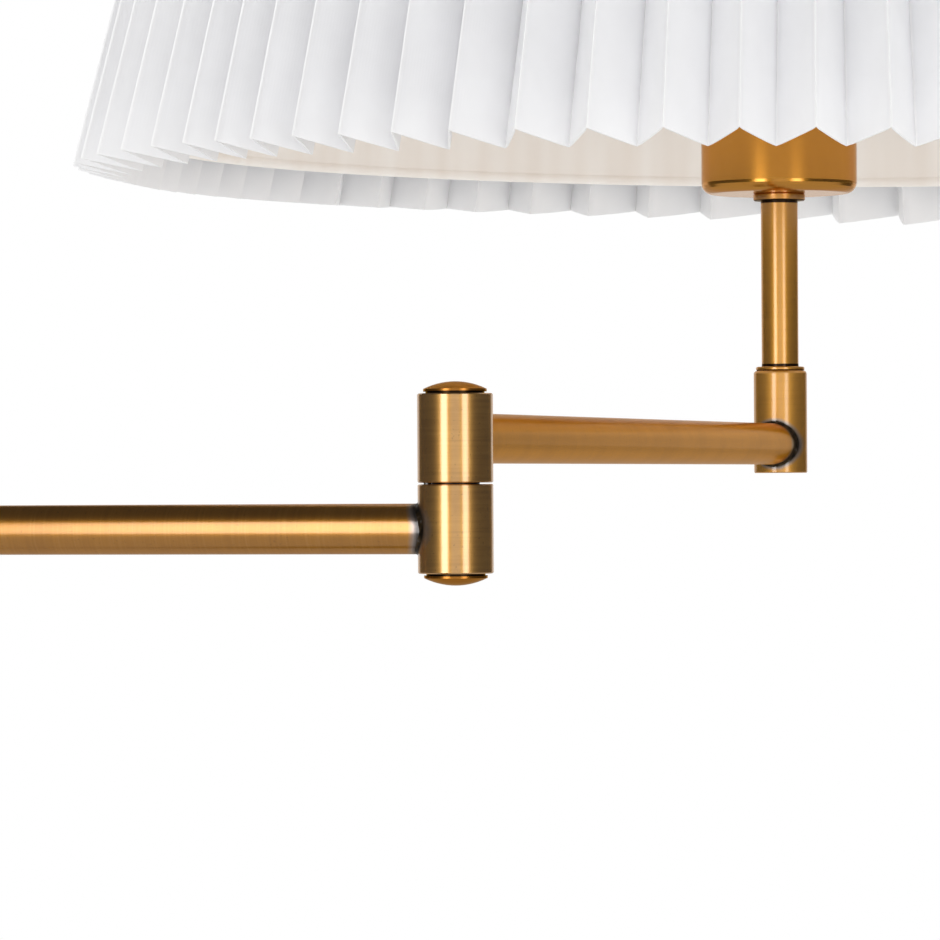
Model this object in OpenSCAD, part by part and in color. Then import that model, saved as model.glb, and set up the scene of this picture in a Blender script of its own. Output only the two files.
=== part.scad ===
// Bridge floor lamp: a weighted round foot, a three-part pole and two hollow arms that swing on
// stacked-barrel knuckles. The second arm carries a stem, a cup, a lampholder and a harp, and the
// pleated shade hangs from the top of the harp.
// The origin is the middle of the foot's underside, on the pole's axis. +Z is up.

/* [Foot] */
// Diameter of the round foot
base_d = 270; // [210:1:340]
// Height of the foot's straight rim
base_rim_h = 13; // [10:0.5:22]
// Rise of the foot's top from its rim to the collar
base_rise = 8; // [4:0.5:18]
// Radius that rounds the foot's top edge
base_edge_r = 4; // [2:0.5:6]
// Wall of the spun shell
shell_wall = 1.6; // [1:0.1:2.5]
// Thickness of the felt pad
felt_h = 2; // [1:0.5:4]
// How far the felt stays inside the shell's edge
felt_inset = 1; // [0.5:0.5:3]
// Gap between the shell and the cast weight
weight_gap = 0.2; // [0.1:0.1:1]
// Width and depth of the flex groove under the weight
groove_w = 8; // [7:0.5:10]
// Depth of the nut pocket under the weight
pocket_h = 8; // [7:0.5:10]
// Diameter of the nut pocket
pocket_d = 28; // [24:1:36]
// Thickness of the washer under the foot's nut
base_washer_h = 1.5; // [1:0.5:2.5]
// Diameter of that washer
base_washer_d = 24; // [20:1:24]
// Width of the foot's nut across its flats
base_nut_af = 17; // [16:0.5:20]
// Diameter of the foot collar's flange
collar_d = 42; // [36:1:60]
// Height of that flange
collar_flange_h = 4; // [2:0.5:8]
// Diameter of the foot collar's neck
collar_neck_d = 24; // [21:0.5:30]
// Height of the whole foot collar
collar_h = 30; // [24:1:50]
// Thickness of the collar's threaded web
collar_web_h = 10; // [6:0.5:14]

/* [Cord outlet] */
// Bore of the cord outlet
outlet_bore = 6.6; // [6:0.1:8]
// Diameter of the outlet bush where it goes through the shell
outlet_d = 9; // [8.5:0.1:10]
// Diameter of the outlet bush's outer flange
outlet_flange_d = 12; // [10.5:0.5:13]
// Thickness of that flange
outlet_flange_h = 2; // [1:0.5:4]
// How far the bush reaches inward from the shell's outside
outlet_l = 8; // [4:0.5:12]
// Height of the outlet's axis above the floor
outlet_z = 8.2; // [7.5:0.1:9]

/* [Pole] */
// Outside diameter of the pole
pole_d = 16; // [14:0.5:17]
// Wall of the pole tubes
pole_wall = 1.2; // [0.8:0.1:1.8]
// Length of each pole tube
pole_section_l = 350; // [250:1:450]
// Thickness of the ring between two pole tubes
coupler_ring_h = 2; // [1:0.5:5]
// How far a coupler reaches into each tube
coupler_l = 18; // [10:1:30]
// Bore of a coupler
coupler_bore = 8; // [7:0.5:10]
// Depth of the shoulder socket over the pole's top
pole_seat_h = 9; // [6:0.5:11]

/* [Arms] */
// Outside diameter of the arm tubes
arm_d = 13.4; // [12:0.1:15]
// Wall of the arm tubes
arm_wall = 1.3; // [0.8:0.1:2]
// Length of the lower arm, shoulder axis to elbow axis
lower_arm_l = 330; // [240:1:450]
// Length of the forearm, elbow axis to stem axis
forearm_l = 330; // [240:1:450]
// Heading of the lower arm at rest, in degrees from +X
lower_arm_heading = -17; // [-90:1:90]
// Bend of the elbow at rest, in degrees from straight
elbow_bend = 88; // [-150:1:150]
// Width of the brazing bead round the end of a tube
braze_w = 1.1; // [0.6:0.1:1.6]

/* [Knuckles] */
// Outside diameter of the knuckle barrels
barrel_d = 20; // [19.4:0.1:24]
// Height of one barrel
barrel_h = 23.5; // [21.5:0.5:30]
// Diameter of the hollow inside a barrel
cavity_d = 15.6; // [15.3:0.1:16]
// Thickness of the web that the stud goes through
web_h = 4.2; // [3.6:0.1:4.8]
// Height of the seam between two barrels
seam_gap = 0.4; // [0.2:0.1:1]
// Diameter of the washer in the seam
seam_washer_d = 12.8; // [11.5:0.1:13]
// Edge chamfer of the barrels
barrel_edge = 0.3; // [0.1:0.1:0.5]
// Greatest swing of a knuckle to each side of straight
swing_limit = 165; // [90:1:168]
// Diameter of the stop pin
stop_pin_d = 2; // [1.5:0.1:2.2]
// Distance of the stop pin from the knuckle's axis
stop_pin_at = 7.7; // [7.5:0.1:7.8]
// Depth of the stop pin in the lower barrel
stop_pin_seat = 2.5; // [1.5:0.1:3]
// Reach of the stop pin into the upper barrel's groove
stop_pin_reach = 1.8; // [1:0.1:2.2]
// Gap round the stop pin in its groove
stop_gap = 0.1; // [0.1:0.05:0.2]

/* [Stud and nuts] */
// Outside diameter of the threaded tube used for studs and nipples
stud_d = 10; // [9.5:0.1:10.4]
// Bore of that threaded tube
stud_bore = 7; // [6.4:0.1:7.6]
// Width of a nut across its flats
nut_af = 13; // [12.6:0.1:13]
// Height of a nut
nut_h = 2.5; // [2:0.1:3]
// Height of the wave washer under the upper nut
spring_h = 1; // [0.6:0.1:1.2]
// Outside diameter of the wave washer
spring_d = 14.4; // [13.5:0.1:14.8]
// How far the threaded tube stands out of its nut
stud_out = 0.5; // [0.3:0.1:0.8]
// Radial gap of a turning fit
running_gap = 0.05; // [0.02:0.01:0.09]
// Radial gap of a hole that a threaded tube drops through
drop_gap = 0.1; // [0.05:0.05:0.2]

/* [End caps] */
// Diameter of a knuckle's domed cap
cap_d = 16.8; // [16.4:0.1:19]
// Height of a cap's straight lip
cap_lip_h = 0.7; // [0.4:0.1:1.5]
// Rise of a cap's dome over its lip
cap_dome_h = 2; // [1:0.1:4]
// Dark gap between a cap and its barrel
cap_gap = 0.5; // [0.2:0.1:1]
// Depth of a cap's spigot in the barrel
cap_spigot_h = 2.5; // [1.5:0.1:3]

/* [Flex] */
// Diameter of the flex inside the tubes
flex_d = 5.2; // [4.6:0.1:5.6]
// Radius of the flex's bends inside the knuckles, to its middle
flex_bend_r = 4; // [3.4:0.1:4.2]

/* [Stem] */
// Diameter of the wrist barrel
wrist_d = 17.3; // [16.5:0.1:22]
// Wrist barrel below the forearm's axis
wrist_below = 9.4; // [9:0.1:16]
// Wrist barrel above the forearm's axis
wrist_above = 24; // [20:0.1:32]
// Diameter of the hollow in the wrist barrel
wrist_cavity_d = 12.2; // [11:0.1:13]
// Thickness of the wrist barrel's threaded web
wrist_web_h = 11; // [8:0.5:12]
// Thickness of the plug in the bottom of the wrist barrel
wrist_plug_h = 2.5; // [1.5:0.1:3]
// Diameter of the washer under the stem
wrist_washer_d = 15.8; // [14:0.1:17]
// Thickness of that washer
wrist_washer_h = 1.2; // [0.8:0.1:3]
// Outside diameter of the stem
stem_d = 12; // [11.4:0.1:14]
// Length of the stem
stem_l = 54.2; // [30:0.1:120]
// Diameter of the flange under the cup
flange_d = 16.8; // [14:0.1:24]
// Thickness of that flange
flange_h = 2.2; // [1:0.1:5]

/* [Cup] */
// Outside diameter of the cup
cup_d = 50.6; // [50:0.1:70]
// Height of the cup
cup_h = 30; // [24:1:50]
// Wall of the cup
cup_wall = 1.2; // [0.8:0.1:1.6]
// Radius of the cup's lower edge
cup_edge_r = 3.6; // [2:0.1:6]
// Width of the cup's nut across its flats
cup_nut_af = 15; // [14:0.5:16]

/* [Lampholder] */
// Outside diameter of the lampholder's brass shell
holder_d = 32; // [31.4:0.1:32.4]
// Height of the whole lampholder
holder_h = 60; // [54:1:70]
// Height of the lampholder's neck
holder_neck_h = 4; // [3:0.5:5]
// Wall of the lampholder's neck
holder_neck_wall = 2; // [1.5:0.5:4]
// Height of the lampholder's cap
holder_cap_h = 15; // [12:0.5:20]
// Wall of the shell and of the cap
holder_wall = 0.6; // [0.4:0.1:0.8]
// Thickness of the insulating sleeve
sleeve_wall = 0.7; // [0.5:0.1:0.8]
// Radius of the screw shell's bore, which takes an E26 or E27 lamp
screw_bore_r = 13.3; // [13.2:0.05:13.4]
// Wall of the screw shell
screw_wall = 0.5; // [0.3:0.1:0.6]
// Depth of the screw shell
screw_l = 24; // [20:1:26]
// How far the screw shell's mouth lies under the lampholder's edge
screw_drop = 3; // [1:0.5:6]
// Diameter of the centre contact
contact_d = 8; // [5:0.5:12]
// Height of the centre contact
contact_h = 2.5; // [1:0.5:4]
// Gap round the centre contact in the screw shell's floor
contact_gap = 2; // [1:0.5:2.5]

/* [Harp] */
// Diameter of the harp's wire
harp_wire_d = 3.2; // [2.5:0.1:3.8]
// Distance of a harp leg from the stem's axis at the saddle
harp_foot_at = 20; // [19.8:0.1:20.2]
// Greatest distance of a harp leg from the stem's axis
harp_half_w = 58; // [48:1:66]
// Height of the harp's top over the saddle
harp_h = 228; // [200:1:260]
// Radius of the two bends at the foot of a harp leg
harp_bend_r = 12; // [8:0.5:16]
// Height over the cup's edge at which a harp leg starts to bend
harp_over_cup = 4; // [2:1:10]
// Turn of each of those bends
harp_bend = 60; // [40:1:70]
// Width of the saddle's strip
saddle_w = 12; // [11:0.5:16]
// Thickness of the saddle's strip
saddle_t = 1.5; // [1:0.1:2]
// Height of the saddle's upturned ends
saddle_h = 16; // [10:0.5:24]
// Outside diameter of the sleeves that lock the harp
ferrule_d = 6; // [5:0.1:6.4]
// Length of those sleeves
ferrule_l = 12; // [8:0.5:18]
// Diameter of the threaded stud on the harp's top
harp_stud_d = 6.35; // [5.5:0.05:7]
// Length of that stud
harp_stud_l = 13; // [11:0.5:16]
// Diameter of the harp's flat top
harp_top_d = 14; // [10:0.5:18]
// Thickness of the harp's flat top
harp_top_h = 1.6; // [1:0.1:2]

/* [Shade] */
// Number of pleats round the shade
pleats = 70; // [40:1:90]
// Radius of the inward folds at the lower rim
rim_r = 209.3; // [170:0.1:260]
// Depth of a pleat at the lower rim, fold to fold
pleat_depth = 18; // [8:0.1:20]
// Turn of the first inward fold from +X, in degrees
pleat_turn = 4.1; // [0:0.1:5]
// Slant of the shade's wall from upright, in degrees
slant = 14; // [4:0.5:25]
// Height of the lower rim's inward folds over the cup's bottom
rim_over_cup = 2.2; // [-10:0.1:20]
// Length of the pleated cloth down the slant
cover_l = 268; // [200:1:320]
// Thickness of the pleated cloth
cover_t = 0.6; // [0.4:0.1:1]
// Gap between the cloth's inward folds and the liner
cover_gap = 0.3; // [0.1:0.1:0.6]
// How far the pleats reach past the liner at each end
pleat_over = 13.6; // [6:0.2:20]
// Thickness of the liner
liner_t = 0.7; // [0.4:0.1:1.2]
// Diameter of the shade's ring and spider wire
ring_wire_d = 3; // [2:0.1:4]
// Gap between a ring and the liner
ring_gap = 0.1; // [0.05:0.05:0.3]
// Lean of the shade on its harp, in degrees
shade_lean = 0.9; // [0:0.1:2]
// Direction in which the shade leans down, in degrees from +X
shade_lean_to = -14; // [-180:1:180]
// Number of spider arms
spider_arms = 3; // [3:1:6]
// Diameter of the spider's washer
spider_d = 20; // [16:0.5:30]
// Thickness of the spider's washer
spider_h = 1.6; // [1:0.1:2.5]

/* [Finial] */
// Diameter of the finial's ball
finial_d = 15; // [13:0.5:22]
// Diameter of the finial's foot
finial_foot_d = 12; // [10:0.5:12.5]
// Height of the finial's foot
finial_foot_h = 3; // [2:0.5:6]
// Height of the finial's neck
finial_neck_h = 3; // [2:0.5:5]

/* [Hidden] */
$fn = 64;

// Colours of the finishes
brass = "#b8862f";
brass_dull = "#8c6a2c";
steel = "#b9b9b4";
iron = "#4a4a4c";
felt_green = "#2d3a30";
dark_plastic = "#26241f";
flex_gold = "#9c7c3a";
cloth_white = "#f2f1ef";
liner_cream = "#e6dccf";

// Overcut that lets a cutting solid leave a face cleanly, and a slight one for thin work
cut = 1;
slight_cut = 0.01;

// Foot
base_r = base_d / 2;
rim_top = felt_h + base_rim_h;
foot_top = rim_top + base_rise;
collar_base = foot_top;
pole_foot = collar_base + collar_web_h;
nut_top = felt_h + pocket_h - base_washer_h;
outlet_seat = base_r - outlet_l;

// Pole, with a ring between each two of its tubes
pole_tubes = 3;
pole_step = pole_section_l + coupler_ring_h;
pole_top = pole_foot + pole_tubes * pole_step - coupler_ring_h;
pole_r = pole_d / 2;
pole_bore_r = pole_r - pole_wall;

// Knuckles: a seam is the top face of its lower barrel
shoulder_seam = pole_top - pole_seat_h + barrel_h;
forearm_heading = lower_arm_heading + elbow_bend;
barrel_r = barrel_d / 2;
cavity_r = cavity_d / 2;
stud_r = stud_d / 2;
arm_r = arm_d / 2;
arm_bore_r = arm_r - arm_wall;
stop_half_angle = swing_limit + asin(stop_pin_d / 2 / stop_pin_at) + 0.5;

// Stem and cup, as heights over the forearm's axis
stem_foot = wrist_above + wrist_washer_h;
stem_top = stem_foot + stem_l;
cup_bottom = stem_top + flange_h;
cup_floor = cup_bottom + cup_wall;
saddle_top = cup_floor + saddle_t;
holder_foot = saddle_top + nut_h;
nipple_foot = wrist_above - wrist_web_h;
nipple_top = holder_foot + holder_neck_h;
wrist_r = wrist_d / 2;
stem_r = stem_d / 2;

// Lampholder, as heights over the forearm's axis
holder_top = holder_foot + holder_h;
holder_r = holder_d / 2;
holder_cap_top = holder_foot + holder_cap_h;
core_r = holder_r - holder_wall - sleeve_wall;
screw_top = holder_top - screw_drop;
screw_foot = screw_top - screw_l;
contact_foot = screw_foot + screw_wall - contact_h;
holder_neck_r = stud_r + holder_neck_wall;

// Harp and shade, as heights over the forearm's axis
harp_top = cup_floor + harp_h;
harp_leg_foot = cup_floor + saddle_h + ferrule_l / 2;
harp_rise = cup_bottom + cup_h + harp_over_cup - harp_leg_foot;
harp_bend_x = harp_bend_r * (1 - cos(harp_bend));
harp_slope_l = (harp_half_w - harp_foot_at - 2 * harp_bend_x) / sin(harp_bend);
harp_leg_top = harp_top - harp_half_w - harp_wire_d / 2 - harp_top_h;
harp_leg_l = harp_leg_top - harp_leg_foot - harp_rise - 2 * harp_bend_r * sin(harp_bend)
    - harp_slope_l * cos(harp_bend);
rim_z = cup_bottom + rim_over_cup;
half_pleat = 180 / pleats;
pleat_face = norm([pleat_depth, rim_r * sin(half_pleat)]);
cloth_skew = cover_t * pleat_face / (rim_r * sin(half_pleat));
liner_out = cloth_skew + cover_gap / cos(slant);
ring_in = liner_out + (liner_t + ring_gap + ring_wire_d / 2) / cos(slant);
lean_lift = harp_top_d / 2 * sin(shade_lean);
finial_z = harp_top + lean_lift + spider_h + finial_foot_d / 2 * sin(shade_lean);
top_ring_down = cover_l - pleat_over;

// Radius and height of the line of inward folds, a distance up the slant from the rim
function fold_r(up) = rim_r - up * sin(slant);
function fold_z(up) = rim_z + up * cos(slant);

// Depth of a pleat where the folds have a given radius: the cloth's faces keep their width
function depth_at(r) = sqrt(pleat_face * pleat_face - pow(r * sin(half_pleat), 2));

// A point of the pleated cloth: fold i, a distance up the slant, on its outside or its inside
function pleat_point(i, up, inside) =
    let (
        out = i % 2 == 1 ? depth_at(fold_r(up)) : 0,
        r = fold_r(up) + out * cos(slant) - (inside ? cloth_skew : 0),
        z = fold_z(up) + out * sin(slant)
    )
    [r * cos(pleat_turn + i * half_pleat), r * sin(pleat_turn + i * half_pleat), z];

// Points of an arc, for the round stretches of an outline
function arc(centre, r, from, to, steps = 6) =
    [for (k = [0:steps]) let (a = from + (to - from) * k / steps) centre + r * [cos(a), sin(a)]];

// Places along the lamp, each carried by the one before. An arm lies along its own +X.
module at_shoulder() { translate([0, 0, shoulder_seam]) rotate([0, 0, lower_arm_heading]) children(); }
module at_lower_arm() { at_shoulder() translate([0, 0, seam_gap + barrel_h / 2]) children(); }
module at_elbow_lower() { at_lower_arm() translate([lower_arm_l, 0, barrel_h / 2]) children(); }
module at_elbow_upper() { at_elbow_lower() rotate([0, 0, elbow_bend]) children(); }
module at_forearm() { at_elbow_upper() translate([0, 0, seam_gap + barrel_h / 2]) children(); }

// The head, a height over the forearm's axis, turned back to the foot's own +X
module at_head(z) { at_forearm() translate([forearm_l, 0, z]) rotate([0, 0, -forearm_heading]) children(); }

// The shade, at heights over the forearm's axis, where it leans on the harp's flat top
module at_shade() {
    at_head(harp_top + lean_lift) rotate([0, 0, shade_lean_to]) rotate([0, shade_lean, 0])
        rotate([0, 0, -shade_lean_to]) translate([0, 0, -harp_top]) children();
}

// A tube that stands on its end
module tube(outer_r, inner_r, h) {
    difference() {
        cylinder(r = outer_r, h = h);
        translate([0, 0, -cut]) cylinder(r = inner_r, h = h + 2 * cut);
    }
}

// A round bar with a chamfer at both ends
module chamfered_bar(r, h, edge) {
    rotate_extrude()
        polygon([[0, 0], [r - edge, 0], [r, edge], [r, h - edge], [r - edge, h], [0, h]]);
}

// A bent round wire: each leg is [straight length, turn towards +X, bend radius]
module wire_path(d, legs, i = 0) {
    length = legs[i][0];
    turn = legs[i][1];
    r = legs[i][2];
    cylinder(d = d, h = length);
    if (turn != 0)
        translate([r, 0, length]) rotate([90, 0, 0]) rotate([0, 0, turn > 0 ? 180 - turn : 180])
            rotate_extrude(angle = abs(turn)) translate([r, 0]) circle(d = d);
    if (i + 1 < len(legs))
        translate([r * (1 - cos(turn)), 0, length + abs(r) * sin(abs(turn))])
            rotate([0, turn, 0]) wire_path(d, legs, i + 1);
}

// ---------- Foot ----------

// Outline of the foot's top, drawn in from the shell's outside
function foot_outline(inset) =
    let (edge_r = max(base_edge_r - inset, 0.5))
    concat(
        [[0, felt_h], [base_r - inset, felt_h]],
        arc([base_r - base_edge_r, rim_top - base_edge_r], edge_r, 0, 80),
        [[collar_d / 2, foot_top - inset], [0, foot_top - inset]]
    );

module base_felt() {
    color(felt_green) cylinder(r = base_r - felt_inset, h = felt_h, $fn = 128);
}

module base_shell() {
    color(brass) difference() {
        rotate_extrude($fn = 128) polygon(foot_outline(0));
        translate([0, 0, -slight_cut]) rotate_extrude($fn = 128) polygon(foot_outline(shell_wall));
        translate([0, 0, felt_h]) cylinder(r = stud_r + drop_gap, h = foot_top);
        translate([0, 0, outlet_z]) rotate([0, -90, 0]) cylinder(d = outlet_d, h = base_r + cut);
    }
}

module base_weight() {
    bore_r = stud_r + drop_gap;
    color(iron) difference() {
        rotate_extrude($fn = 128) polygon(foot_outline(shell_wall + weight_gap));
        cylinder(r = bore_r, h = foot_top + cut);
        cylinder(d = pocket_d, h = felt_h + pocket_h);
        translate([-base_r, -groove_w / 2, 0]) cube([base_r, groove_w, outlet_z + groove_w / 2]);
        translate([0, 0, outlet_z]) rotate([0, -90, 0])
            translate([0, 0, outlet_seat - cut]) cylinder(d = outlet_d + 2 * drop_gap, h = base_r);
    }
}

// The threaded tube through the foot, from its nut to the collar's web
module base_nipple() {
    foot = nut_top - nut_h - stud_out;
    color(steel) translate([0, 0, foot])
        difference() {
            tube(stud_r, stud_bore / 2, pole_foot - foot);
            // A notch lets the flex turn into the tube
            translate([-stud_d, -flex_d / 2 - drop_gap, -cut])
                cube([stud_d, flex_d + 2 * drop_gap, outlet_z + flex_bend_r - foot + cut]);
        }
}

module base_washer() {
    color(steel) translate([0, 0, nut_top])
        difference() {
            tube(base_washer_d / 2, stud_r + drop_gap, base_washer_h);
            translate([-base_washer_d, -groove_w / 2, -cut])
                cube([base_washer_d, groove_w, base_washer_h + 2 * cut]);
        }
}

module hex_nut(across, h) {
    difference() {
        cylinder(r = across / 2 / cos(30), h = h, $fn = 6);
        translate([0, 0, -cut]) cylinder(r = stud_r, h = h + 2 * cut);
    }
}

module base_nut() {
    color(steel) translate([0, 0, nut_top - nut_h])
        difference() {
            hex_nut(base_nut_af, nut_h);
            translate([-base_nut_af, -groove_w / 2, -cut]) cube([base_nut_af, groove_w, nut_h + 2 * cut]);
        }
}

module foot_collar() {
    neck_r = collar_neck_d / 2;
    edge = 1;
    collar_r = collar_d / 2;
    cove = collar_r - neck_r - 2 * edge;
    color(brass) translate([0, 0, collar_base]) difference() {
        rotate_extrude() polygon(concat(
            [[0, 0], [collar_r, 0], [collar_r, collar_flange_h - edge], [collar_r - edge, collar_flange_h]],
            arc([neck_r + cove, collar_flange_h + cove], cove, 270, 180),
            [[neck_r, collar_h - edge], [neck_r - edge, collar_h], [0, collar_h]]
        ));
        translate([0, 0, -cut]) cylinder(r = stud_r, h = collar_web_h + 2 * cut);
        translate([0, 0, collar_web_h]) cylinder(r = pole_r, h = collar_h);
    }
}

module cord_bush() {
    color(dark_plastic) translate([0, 0, outlet_z]) rotate([0, -90, 0]) translate([0, 0, outlet_seat])
        difference() {
            union() {
                cylinder(d = outlet_d, h = outlet_l);
                translate([0, 0, outlet_l]) cylinder(d = outlet_flange_d, h = outlet_flange_h);
            }
            translate([0, 0, -cut]) cylinder(d = outlet_bore, h = outlet_l + outlet_flange_h + 2 * cut);
        }
}

// ---------- Pole ----------

module pole_tube(i) {
    color(brass) translate([0, 0, pole_foot + i * pole_step]) tube(pole_r, pole_bore_r, pole_section_l);
}

module pole_lower() { pole_tube(0); }
module pole_middle() { pole_tube(1); }
module pole_upper() { pole_tube(2); }

// Threaded couplers: a ring that shows, and a spigot into the tube on either side
module pole_couplers() {
    color(brass_dull) for (i = [1:pole_tubes - 1])
        translate([0, 0, pole_foot + i * pole_step - coupler_ring_h])
            difference() {
                union() {
                    translate([0, 0, -coupler_l])
                        cylinder(r = pole_bore_r, h = 2 * coupler_l + coupler_ring_h);
                    cylinder(r = pole_r, h = coupler_ring_h);
                }
                translate([0, 0, -coupler_l - cut])
                    cylinder(d = coupler_bore, h = 2 * coupler_l + coupler_ring_h + 2 * cut);
            }
}

// The flex from the outlet through the foot and the pole to the shoulder
module stand_flex() {
    inward = outlet_seat - flex_bend_r;
    color(flex_gold) translate([-outlet_seat, 0, outlet_z]) rotate([0, 90, 0])
        wire_path(flex_d, [[inward, -90, -flex_bend_r], [shoulder_seam - outlet_z - flex_bend_r, 0, 0]]);
}

// ---------- Knuckles ----------

// The upper barrel: hollow from above, with a web at its foot that turns on the stud
module upper_barrel() {
    groove_in = stop_pin_at - stop_pin_d / 2 - stop_gap;
    groove_w = stop_pin_d + 2 * stop_gap;
    translate([0, 0, seam_gap]) difference() {
        chamfered_bar(barrel_r, barrel_h, barrel_edge);
        translate([0, 0, web_h]) cylinder(r = cavity_r, h = barrel_h);
        translate([0, 0, -cut]) cylinder(r = stud_r + running_gap, h = web_h + 2 * cut);
        translate([0, 0, barrel_h / 2]) rotate([0, 90, 0]) cylinder(r = arm_bore_r, h = barrel_d);
        rotate([0, 0, 180 - stop_half_angle]) translate([0, 0, -cut])
            rotate_extrude(angle = 2 * stop_half_angle)
                translate([groove_in, 0]) square([groove_w, cut + stop_pin_reach + stop_gap]);
    }
}

// The stud, its nuts, the wave washer, the seam washer and the stop pin of a knuckle
module knuckle_stud() {
    foot = -web_h - nut_h - stud_out;
    top = seam_gap + web_h + spring_h + nut_h + stud_out;
    color(steel) translate([0, 0, foot]) tube(stud_r, stud_bore / 2, top - foot);
}

module knuckle_nuts() {
    color(brass_dull) {
        translate([0, 0, -web_h - nut_h]) hex_nut(nut_af, nut_h);
        translate([0, 0, seam_gap + web_h + spring_h]) hex_nut(nut_af, nut_h);
    }
}

module knuckle_wave_washer() {
    color(steel) translate([0, 0, seam_gap + web_h]) tube(spring_d / 2, stud_r + drop_gap, spring_h);
}

module knuckle_seam_washer() {
    color(dark_plastic) tube(seam_washer_d / 2, stud_r + drop_gap, seam_gap);
}

module knuckle_stop_pin() {
    color(steel) translate([stop_pin_at, 0, -stop_pin_seat])
        cylinder(d = stop_pin_d, h = stop_pin_seat + seam_gap + stop_pin_reach);
}

// A domed cap with a spigot: its z = 0 is the end face of its barrel
module end_cap() {
    cap_r = cap_d / 2;
    dome_r = (cap_r * cap_r + cap_dome_h * cap_dome_h) / 2 / cap_dome_h;
    dome_half = asin(cap_r / dome_r);
    lip_top = cap_gap + cap_lip_h;
    color(brass) rotate_extrude() polygon(concat(
        [[0, -cap_spigot_h], [cavity_r, -cap_spigot_h]],
        [[cavity_r, cap_gap], [cap_r, cap_gap], [cap_r, lip_top]],
        arc([0, lip_top + cap_dome_h - dome_r], dome_r, 90 - dome_half + dome_half / 6, 90)
    ));
}

// A brazing bead where an arm tube along +X meets a barrel round the z axis
module braze_bead(r) {
    difference() {
        intersection() {
            translate([0, 0, -arm_d]) cylinder(r = r + braze_w, h = 2 * arm_d);
            rotate([0, 90, 0]) cylinder(r = arm_r + braze_w, h = r + arm_d);
        }
        translate([0, 0, -arm_d - cut]) cylinder(r = r, h = 2 * (arm_d + cut));
        rotate([0, 90, 0]) translate([0, 0, -cut]) cylinder(r = arm_r, h = r + arm_d + 2 * cut);
    }
}

// A hollow arm along +X, coped to the barrel at each end
module arm_tube(l, near_r, far_r) {
    difference() {
        rotate([0, 90, 0]) tube(arm_r, arm_bore_r, l);
        translate([0, 0, -arm_d]) cylinder(r = near_r, h = 2 * arm_d);
        translate([l, 0, -arm_d]) cylinder(r = far_r, h = 2 * arm_d);
    }
}

// The shoulder's lower barrel, which sits over the pole's top
module shoulder_socket() {
    ledge = 0.2;
    color(brass) at_shoulder() difference() {
        translate([0, 0, -barrel_h]) chamfered_bar(barrel_r, barrel_h, barrel_edge);
        translate([0, 0, -barrel_h - cut]) cylinder(r = pole_r, h = pole_seat_h + cut);
        translate([0, 0, -barrel_h]) cylinder(r = min(cavity_r, pole_r - ledge), h = barrel_h - web_h);
        translate([0, 0, -web_h - cut]) cylinder(r = stud_r, h = web_h + 2 * cut);
        rotate([0, 0, 180]) translate([stop_pin_at, 0, -stop_pin_seat])
            cylinder(d = stop_pin_d, h = stop_pin_seat + cut);
    }
}

module shoulder_stud() { at_shoulder() knuckle_stud(); }
module shoulder_nuts() { at_shoulder() knuckle_nuts(); }
module shoulder_wave_washer() { at_shoulder() knuckle_wave_washer(); }
module shoulder_seam_washer() { at_shoulder() knuckle_seam_washer(); }
module shoulder_stop_pin() { at_shoulder() rotate([0, 0, 180]) knuckle_stop_pin(); }

module shoulder_barrel() { color(brass) at_shoulder() upper_barrel(); }
module shoulder_cap() { at_shoulder() translate([0, 0, seam_gap + barrel_h]) end_cap(); }

module lower_arm_tube() { color(brass) at_lower_arm() arm_tube(lower_arm_l, barrel_r, barrel_r); }

module lower_arm_braze() {
    color(brass_dull) at_lower_arm() {
        braze_bead(barrel_r);
        translate([lower_arm_l, 0, 0]) rotate([0, 0, 180]) braze_bead(barrel_r);
    }
}

// The flex from the shoulder's seam through the lower arm to the elbow's seam
module lower_arm_flex() {
    rise = seam_gap + barrel_h / 2 - flex_bend_r;
    color(flex_gold) at_shoulder() wire_path(flex_d, [
        [rise, 90, flex_bend_r],
        [lower_arm_l - 2 * flex_bend_r, -90, -flex_bend_r],
        [barrel_h / 2 - flex_bend_r, 0, 0]
    ]);
}

module elbow_lower_barrel() {
    color(brass) at_elbow_lower() difference() {
        translate([0, 0, -barrel_h]) chamfered_bar(barrel_r, barrel_h, barrel_edge);
        translate([0, 0, -barrel_h - cut]) cylinder(r = cavity_r, h = barrel_h - web_h + cut);
        translate([0, 0, -web_h - cut]) cylinder(r = stud_r, h = web_h + 2 * cut);
        translate([0, 0, -barrel_h / 2]) rotate([0, -90, 0]) cylinder(r = arm_bore_r, h = barrel_d);
        rotate([0, 0, 180]) translate([stop_pin_at, 0, -stop_pin_seat])
            cylinder(d = stop_pin_d, h = stop_pin_seat + cut);
    }
}

module elbow_bottom_cap() { at_elbow_lower() translate([0, 0, -barrel_h]) mirror([0, 0, 1]) end_cap(); }
module elbow_stud() { at_elbow_lower() knuckle_stud(); }
module elbow_nuts() { at_elbow_lower() knuckle_nuts(); }
module elbow_wave_washer() { at_elbow_lower() knuckle_wave_washer(); }
module elbow_seam_washer() { at_elbow_lower() knuckle_seam_washer(); }
module elbow_stop_pin() { at_elbow_lower() rotate([0, 0, 180]) knuckle_stop_pin(); }

// ---------- Forearm and stem ----------

module elbow_upper_barrel() { color(brass) at_elbow_upper() upper_barrel(); }
module elbow_top_cap() { at_elbow_upper() translate([0, 0, seam_gap + barrel_h]) end_cap(); }

module forearm_tube() { color(brass) at_forearm() arm_tube(forearm_l, barrel_r, wrist_r); }

module forearm_braze() {
    color(brass_dull) at_forearm() {
        braze_bead(barrel_r);
        translate([forearm_l, 0, 0]) rotate([0, 0, 180]) braze_bead(wrist_r);
    }
}

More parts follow.
